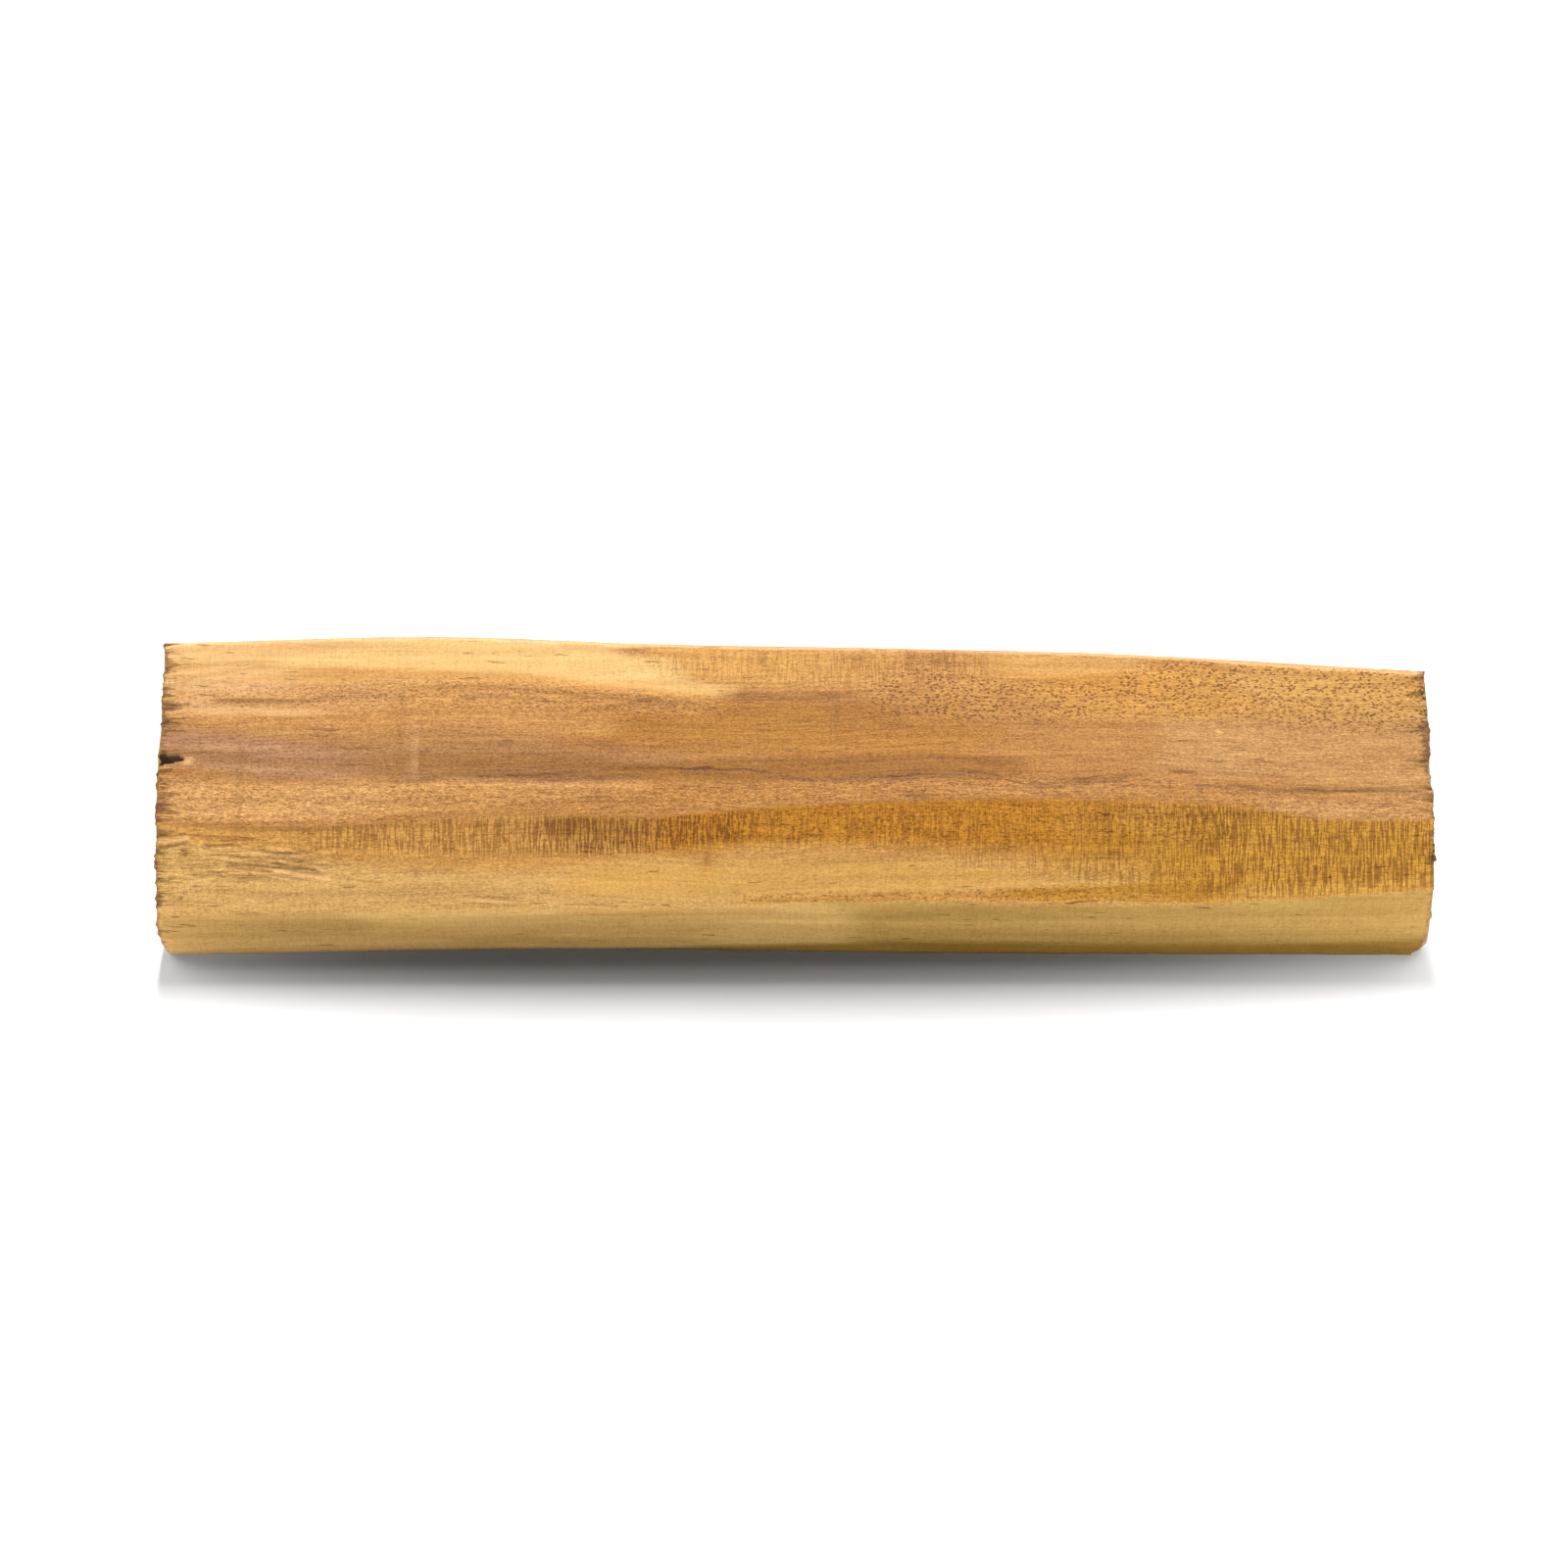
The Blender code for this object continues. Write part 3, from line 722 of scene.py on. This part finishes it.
def paint(points, g, sawn, dark):
    """The colour of the wood at each point, before its fine grain; painted shade goes into the hole and the
    low side of the torn strips, and a painted highlight onto their raised side.
    """
    along = points[..., 0]
    x = drifted(points)
    bent = g + 0.03 * cloud(points, "bend") + 0.012 * cloud(points, "fine bend")
    edge = g + 0.01 * cloud(points, "edge")
    stains = {**STAINS, **hidden_streaks()}
    colour = np.zeros(points.shape)
    for number, name in enumerate(NAMES):
        ground = np.broadcast_to(TONES[GROUND[name]], points.shape)
        for tone, strength, places in stains[name]:
            ground = lay(ground, tone, strength * stain(x, bent, name, places))
        for tone, strength, at, share, long, wide, _ in MARKS.get(name, []):
            ground = lay(ground, tone, strength * mark(along, bent, name, at, share, long, wide))
        for tone, strength, _, places in CRACKS.get(name, []):
            ground = lay(ground, tone, strength * stain(along, g, name, places, CRACK_FADE))
        colour += ground * on_facet(edge, number)[..., None]
    # Painted shade on the low side of each torn strip, and a painted highlight on its raised side
    strips = torn_strips(points) * np.sqrt(tear(along, g))
    colour = lay(colour, "brown", 0.6 * np.maximum(-strips, 0)**2)
    colour = lay(colour, "peach", 0.3 * np.maximum(strips, 0)**2)
    to_end = HALF - np.abs(along)
    reach = 0.4 + 4.2 * torn_by_height(points) * np.maximum(cloud(points, "rim"), -0.06)
    colour = lay(colour, "rim", 0.85 * rise(1.3 - to_end / reach) * (1 - sawn))
    colour = lay(colour, "sawn", sawn)
    # Painted shade: the hole turned near-black
    return lay(colour, "painted_hole_shade", dark)


def masks(points, g, colour):
    """How pitted, dashed, fuzzy, torn and calm the surface is at each point, and where its dark line is."""
    x = drifted(points)
    found = {}
    for name, patches in (("pitted", PITTED), ("dashed", DASHED), ("fuzzy", FUZZY), ("torn", TORN)):
        total = np.full(g.shape, 0.12 * (name != "torn"))
        for facet, strength, places in patches:
            here = stain(x, g, facet, places, PATCH_FADE) * on_facet(g, NAMES.index(facet))
            total = np.maximum(total, strength * here)
        found[name] = total
    found["ragged"] = torn_by_height(points) * np.exp(-(HALF - np.abs(x)) / np.where(x < 0, *NOTCH_REACH))
    bright = rise((colour[..., 0] - 0.60) / 0.2)
    found["calm"] = np.maximum(bright, 0.9 * on_facet(g, NAMES.index("cheek")))
    along = np.clip(points[..., 0], DARK_LINE[0][0], DARK_LINE[-1][0])
    line = through(DARK_LINE, along)[..., 0]
    found["line_off"] = np.clip(off_line(g, line) * facet_widths()[0], -3, 3)
    found["line_dark"] = np.clip(through(LINE_STRENGTH, along)[..., 0], 0, 1)
    return found


def with_poles(values):
    """The grid's values in one row; the two poles take the first and the last."""
    return np.concatenate([values[0, :1], values.reshape(-1, *values.shape[2:]), values[-1, :1]])


def store_numbers(mesh, name, numbers):
    """Stores one number for each vertex."""
    layer = mesh.attributes.new(name, "FLOAT", "POINT")
    layer.data.foreach_set("value", numbers.astype(np.float32))


def store_colours(mesh, colours):
    """Stores one colour for each vertex."""
    rgba = np.column_stack([colours, np.ones(len(colours))])
    layer = mesh.attributes.new("wood", "FLOAT_COLOR", "POINT")
    layer.data.foreach_set("color", rgba.astype(np.float32).reshape(-1))


def join(tree, value, socket):
    """Feeds a socket from another one, or sets it to a plain value."""
    if isinstance(value, bpy.types.NodeSocket):
        tree.links.new(value, socket)
    else:
        socket.default_value = value


def calc(tree, operation, a, b=0.0):
    """One step of arithmetic."""
    step = tree.nodes.new("ShaderNodeMath")
    step.operation = operation
    join(tree, a, step.inputs[0])
    join(tree, b, step.inputs[1])
    return step.outputs[0]


def vector_calc(tree, operation, *vectors):
    """The same with vectors."""
    step = tree.nodes.new("ShaderNodeVectorMath")
    step.operation = operation
    for vector, socket in zip(vectors, step.inputs):
        join(tree, vector, socket)
    return step.outputs["Value" if operation == "LENGTH" else "Vector"]


def times(tree, *factors):
    """The product of all the factors."""
    product = factors[0]
    for factor in factors[1:]:
        product = calc(tree, "MULTIPLY", product, factor)
    return product


def grain(tree, place, name, output="Fac"):
    """One of the noises in GRAINS."""
    scale, detail, rough = GRAINS[name]
    step = tree.nodes.new("ShaderNodeTexNoise")
    join(tree, vector_calc(tree, "MULTIPLY", place, scale), step.inputs["Vector"])
    step.inputs["Scale"].default_value = 1.0
    step.inputs["Detail"].default_value = detail
    step.inputs["Roughness"].default_value = rough
    return step.outputs[output]


def between(tree, value, name):
    """0 where a pattern starts, 1 where it is full, and smooth between them."""
    step = tree.nodes.new("ShaderNodeMapRange")
    step.interpolation_type = "SMOOTHSTEP"
    join(tree, value, step.inputs["Value"])
    step.inputs["From Min"].default_value, step.inputs["From Max"].default_value = EDGES[name]
    return step.outputs["Result"]


def mix(tree, share, a, b, blend="MIX"):
    """The colour a with a share of b over it."""
    step = tree.nodes.new("ShaderNodeMix")
    step.data_type = "RGBA"
    step.blend_type = blend
    join(tree, share, step.inputs[0])
    join(tree, a, step.inputs[6])
    join(tree, b, step.inputs[7])
    return step.outputs[2]


def tinted(tree, colour, name):
    """The colour as a pattern leaves it."""
    return mix(tree, 1.0, colour, (*TINTS[name], 1), "MULTIPLY")


def tint_where(tree, name, where, colour):
    """The colour with a pattern laid over it, where that pattern is."""
    return mix(tree, times(tree, where, STRENGTHS[name]), colour, tinted(tree, colour, name))


def attribute(tree, name, output="Fac"):
    """What the mesh stores under that name."""
    step = tree.nodes.new("ShaderNodeAttribute")
    step.attribute_name = name
    return step.outputs[output]


def weighted(tree, *parts):
    """The sum of noises, each less its middle and times its weight."""
    total = 0.5
    for value, weight in parts:
        total = calc(tree, "ADD", total, times(tree, calc(tree, "SUBTRACT", value, 0.5), weight))
    return total


def dots(tree, place, uneven):
    """Pits of uneven size: 1 in each one's middle, with some of them left out."""
    step = tree.nodes.new("ShaderNodeTexVoronoi")
    join(tree, vector_calc(tree, "MULTIPLY", place, PIT_SCALE), step.inputs["Vector"])
    step.inputs["Scale"].default_value = 1.0
    wider = times(tree, calc(tree, "SUBTRACT", uneven, 0.5), PIT_UNEVEN)
    away = calc(tree, "ADD", step.outputs["Distance"], wider)
    return times(tree, between(tree, away, "pits"), between(tree, step.outputs["Color"], "pits kept"))


def wood_place(tree):
    """The place in millimetres, and the same with the fibres gently bent."""
    coordinates = tree.nodes.new("ShaderNodeTexCoord")
    place = vector_calc(tree, "MULTIPLY", coordinates.outputs["Object"], (1 / MM, 1 / MM, 1 / MM))
    bends = grain(tree, place, "bends", "Color")
    return place, vector_calc(tree, "MULTIPLY_ADD", bends, (0, BENT_BY, BENT_BY), place)


def dark_line(tree, place):
    """1 in the middle of the dark line, which wanders a little and has gaps."""
    wander = times(tree, calc(tree, "SUBTRACT", grain(tree, place, "wander"), 0.5), LINE_WANDER)
    off = calc(tree, "ABSOLUTE", calc(tree, "ADD", attribute(tree, "line_off"), wander))
    line = calc(tree, "SUBTRACT", 1.0, between(tree, off, "line"))
    unbroken = between(tree, grain(tree, place, "gaps"), "gaps")
    return times(tree, line, unbroken, attribute(tree, "line_dark"))


def wood_material():
    """Painted wood tones under fibres, pores, pits, blade dashes, dark lines and end grain."""
    material = bpy.data.materials.new("sandalwood")
    material.use_nodes = True
    tree = material.node_tree
    shader = tree.nodes["Principled BSDF"]
    place, bent = wood_place(tree)
    wood = attribute(tree, "wood", "Color")
    fuzzy = attribute(tree, "fuzzy")
    dashed = attribute(tree, "dashed")
    torn = attribute(tree, "torn")
    sawn = attribute(tree, "sawn")
    flank = calc(tree, "SUBTRACT", 1.0, sawn)
    lively = calc(tree, "SUBTRACT", 1.0, times(tree, attribute(tree, "calm"), CALMED))

    fibre = grain(tree, bent, "fibre")
    broad = grain(tree, bent, "broad")
    grit = grain(tree, place, "grit")
    crumbs = grain(tree, place, "crumbs")
    grit_weight = calc(tree, "ADD", TONE_OF["grit"], times(tree, fuzzy, TONE_OF["fuzzy grit"]))
    tone = weighted(tree, (fibre, times(tree, lively, TONE_OF["fibre"])), (broad, TONE_OF["broad"]),
                    (grit, times(tree, grit_weight, lively)), (crumbs, times(tree, fuzzy, TONE_OF["crumbs"])))
    colour = mix(tree, tone, tinted(tree, wood, "dark grain"), tinted(tree, wood, "light grain"))

    pits = times(tree, dots(tree, place, grit), attribute(tree, "pitted"), flank)
    colour = tint_where(tree, "pits", pits, colour)
    strokes = calc(tree, "ADD", grain(tree, place, "strokes"), times(tree, dashed, MORE_STROKES))
    dashes = times(tree, between(tree, strokes, "strokes"), dashed, flank)
    colour = tint_where(tree, "strokes", dashes, colour)
    pores = between(tree, grain(tree, bent, "pores"), "pores")
    colour = tint_where(tree, "pores", times(tree, pores, lively), colour)
    split = grain(tree, bent, "split")
    pale_fibres = times(tree, between(tree, split, "pale fibres"), torn)
    colour = tint_where(tree, "pale fibres", pale_fibres, colour)
    ragged = times(tree, attribute(tree, "ragged"), MORE_NOTCHES)
    notches = between(tree, calc(tree, "ADD", grain(tree, place, "notches"), ragged), "notches")
    cracks = times(tree, between(tree, split, "cracks"), torn)
    cracks = calc(tree, "MAXIMUM", cracks, times(tree, notches, flank))
    colour = tint_where(tree, "cracks", cracks, colour)
    colour = tint_where(tree, "line", times(tree, dark_line(tree, place), flank), colour)
    colour = mix(tree, sawn, colour, end_grain(tree, place, wood))
    join(tree, colour, shader.inputs["Base Color"])
    shader.inputs["Roughness"].default_value = 0.62
    shader.inputs["Specular IOR Level"].default_value = 0.27

    grit_height = calc(tree, "ADD", HEIGHT_OF["grit"], times(tree, fuzzy, HEIGHT_OF["fuzzy grit"]))
    height = weighted(tree, (fibre, HEIGHT_OF["fibre"]), (grit, grit_height), (cracks, HEIGHT_OF["cracks"]))
    height = calc(tree, "ADD", height, times(tree, pits, HEIGHT_OF["pits"]))
    height = calc(tree, "ADD", height, times(tree, dashes, HEIGHT_OF["strokes"]))
    bump = tree.nodes.new("ShaderNodeBump")
    bump.inputs["Strength"].default_value = 1.0
    bump.inputs["Distance"].default_value = BUMP_DEPTH * MM
    join(tree, height, bump.inputs["Height"])
    join(tree, bump.outputs["Normal"], shader.inputs["Normal"])
    return material


def end_grain(tree, place, wood):
    """Growth rings about a pith outside the stick, with vessels as fine dots and the saw's slanting marks."""
    across = vector_calc(tree, "MULTIPLY", place, (0, 1, 1))
    from_pith = vector_calc(tree, "LENGTH", vector_calc(tree, "SUBTRACT", across, (0, *PITH)))
    uneven = times(tree, grain(tree, place, "uneven rings"), RINGS_UNEVEN)
    ring_place = tree.nodes.new("ShaderNodeCombineXYZ")
    join(tree, calc(tree, "ADD", from_pith, uneven), ring_place.inputs[0])
    rings = grain(tree, ring_place.outputs[0], "rings")
    marks = grain(tree, place, "saw marks")
    dust = grain(tree, place, "dust")
    tone = weighted(tree, (rings, TONE_OF["rings"]), (marks, TONE_OF["saw marks"]), (dust, TONE_OF["dust"]))
    face = mix(tree, tone, tinted(tree, wood, "dark rings"), tinted(tree, wood, "light rings"))
    return tint_where(tree, "vessels", between(tree, grain(tree, place, "vessels"), "vessels"), face)


def sliver(start, direction, side, up, length, thick, curl):
    """A thin three-sided splinter that rises as it goes: its points and faces."""
    points, faces = [], []
    for share, width in SLIVER_STEPS:
        middle = start + direction * length * share + up * curl * share**2
        radius = thick * width
        for turn in SLIVER_TURNS:
            points.append(middle + (side * math.cos(turn) + up * math.sin(turn)) * radius)
    for step in range(3):
        for corner in range(3):
            a, b = 3 * step + corner, 3 * step + (corner + 1) % 3
            faces.append((a, b, b + 3, a + 3))
    faces += [(2, 1, 0), (9, 10, 11)]
    return points, faces


def splinter_starts(draw, x, g):
    """Which ring and which point round it each splinter starts from: at the rims and in the torn patch."""
    starts = []
    for _ in range(SLIVERS):
        kind = draw.random()
        if kind < SLIVERS_TORN:
            at, share = TEAR_X + draw.uniform(-9, 8), NAMES.index("brow") + draw.uniform(0.08, 0.75)
        elif kind < SLIVERS_LEFT:
            at, share = -HALF + draw.gamma(1.0, 0.8) + 0.3, draw.uniform(0, 2.6)
        else:
            at, share = HALF - draw.gamma(1.0, 0.6) - 1.3, draw.uniform(0, SIDES)
        starts.append((int(np.argmin(np.abs(x - at))), int(np.argmin(np.abs(g - share)))))
    return starts


def make_slivers(grid, g, colour):
    """The fine fibres that stand up from the wood, in one piece of their own."""
    draw = np.random.default_rng(SEEDS["slivers"])
    normals = outward(grid)
    first = len(CAP_SHARES) + 2
    low, high = solid_box()
    points, faces, colours = [], [], []
    for ring, turn in splinter_starts(draw, grid[first:-first, 0, 0], g[0]):
        here, up = grid[first + ring, turn], normals[first + ring, turn]
        way = 1 if here[0] < -HALF + NEAR_END else -1 if here[0] > HALF - NEAR_END else draw.choice([-1, 1])
        along = unit(np.array([way, 0, 0]) + draw.normal(0, 0.07, 3))
        side = np.cross(along, up)
        new_points, new_faces = sliver(here - up * SLIVER_SUNK, along, side, up, draw.uniform(0.5, 2.2),
                                       draw.uniform(0.02, 0.055), draw.uniform(0.0, 0.16))
        faces += [tuple(len(points) + corner for corner in face) for face in new_faces]
        points += [np.clip(p, low, high) for p in new_points]
        colours += [colour[first + ring, turn] * draw.uniform(0.8, 1.5)] * len(new_points)
    mesh = bpy.data.meshes.new("sandalwood_fibres")
    mesh.from_pydata((np.array(points) * MM).tolist(), [], faces)
    mesh.shade_smooth()
    store_colours(mesh, np.minimum(colours, BRIGHTEST))
    return mesh


def look_at(thing, target):
    """Turns a camera or a light towards a point."""
    thing.rotation_euler = (Vector(target) - thing.location).to_track_quat("-Z", "Y").to_euler()


def add(name, data):
    """A new object in the scene."""
    thing = bpy.data.objects.new(name, data)
    bpy.context.scene.collection.objects.link(thing)
    return thing


def make_camera():
    """Looks along +Y and 27 degrees down, from half a metre away."""
    data = bpy.data.cameras.new("camera")
    data.sensor_width = 36.0
    data.lens = CAMERA_LENS
    data.clip_start = 0.01
    camera = add("camera", data)
    aim = Vector([part * MM for part in CAMERA_AIM])
    down = math.radians(CAMERA_DOWN)
    camera.location = aim + CAMERA_AWAY * MM * Vector((0, -math.cos(down), math.sin(down)))
    look_at(camera, aim)
    bpy.context.scene.camera = camera


def area_light(name, size, power, location, target, lit=None):
    """An oval light that can't itself be seen; it lights everything, or only the things named."""
    data = bpy.data.lights.new(name, "AREA")
    data.shape = "ELLIPSE"
    data.size, data.size_y = size
    data.energy = power
    light = add(name, data)
    light.location = location
    look_at(light, target)
    light.visible_camera = False
    if lit:
        only = bpy.data.collections.new(name + "_lights")
        for thing in lit:
            only.objects.link(thing)
        light.light_linking.receiver_collection = only


def make_lights(wood, floor):
    """Two soft boxes above and behind, a front fill for the wood, and a small light at each end."""
    for name, (tilt, width, power) in SOFT_BOXES.items():
        tilt = math.radians(tilt)
        above = Vector((SOFT_BOX_LEFT, math.sin(tilt), math.cos(tilt))) * SOFT_BOX_AWAY
        area_light(name, (SOFT_BOX_DEPTH, width), power, above, (0, 0, 0))
    area_light("front_fill", (1.6, 0.9), 15, (-0.15, -1.2, 0.75), (0, 0, 0.015), wood)
    area_light("left_glow", (0.03, 0.03), 0.011, (-0.086, -0.010, 0.030), (-0.063, -0.021, 0), [floor])
    area_light("right_glow", (0.05, 0.05), 0.030, (0.088, -0.004, 0.045), (0.062, -0.020, 0), [floor])


def make_world():
    """White where the camera looks past the floor, and only a little light from all sides."""
    world = bpy.data.worlds.new("studio")
    bpy.context.scene.world = world
    world.use_nodes = True
    tree = world.node_tree
    background = tree.nodes["Background"]
    path = tree.nodes.new("ShaderNodeLightPath")
    seen = path.outputs["Is Camera Ray"]
    join(tree, mix(tree, seen, (0.04, 0.034, 0.026, 1), (1, 1, 1, 1)), background.inputs["Color"])


def make_floor():
    """A white floor, which the camera sees as pure white from a hand's breadth beyond the stick."""
    bpy.ops.mesh.primitive_plane_add(size=8)
    floor = bpy.context.object
    floor.name = "floor"
    material = bpy.data.materials.new("white_floor")
    material.use_nodes = True
    tree = material.node_tree
    shader = tree.nodes["Principled BSDF"]
    shader.inputs["Base Color"].default_value = (0.9, 0.895, 0.89, 1)
    shader.inputs["Roughness"].default_value = 0.9
    shader.inputs["Specular IOR Level"].default_value = 0.2
    away = vector_calc(tree, "LENGTH", tree.nodes.new("ShaderNodeTexCoord").outputs["Object"])
    seen = tree.nodes.new("ShaderNodeLightPath").outputs["Is Camera Ray"]
    shader.inputs["Emission Color"].default_value = (1, 1, 1, 1)
    glow = times(tree, seen, between(tree, away, "white floor"))
    join(tree, glow, shader.inputs["Emission Strength"])
    floor.data.materials.append(material)
    return floor


def make_stick(material):
    """The stick's fine skin and its splinters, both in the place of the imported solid."""
    left_pole, grid, right_pole, g, sawn, dark = stick_grid()
    mesh = grid_mesh("sandalwood", left_pole * MM, grid * MM, right_pole * MM)
    mesh.shade_smooth()
    colour = paint(grid, g, sawn, dark)
    store_colours(mesh, with_poles(colour))
    for name, values in {"sawn": sawn, **masks(grid, g, colour)}.items():
        store_numbers(mesh, name, with_poles(values))
    mesh.materials.append(material)
    stick = add("sandalwood", mesh)
    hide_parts("sandalwood_stick")
    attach(stick, "root")
    fibres_mesh = make_slivers(grid, g, colour)
    fibres_mesh.materials.append(material)
    fibres = add("sandalwood_fibres", fibres_mesh)
    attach(fibres, "root")
    for piece in (stick, fibres):
        piece.visible_diffuse = False
    return [stick, fibres]


def main():
    wood = make_stick(wood_material())
    make_camera()
    floor = make_floor()
    make_lights(wood, floor)
    make_world()
    bpy.context.scene.view_settings.view_transform = "Standard"


main()
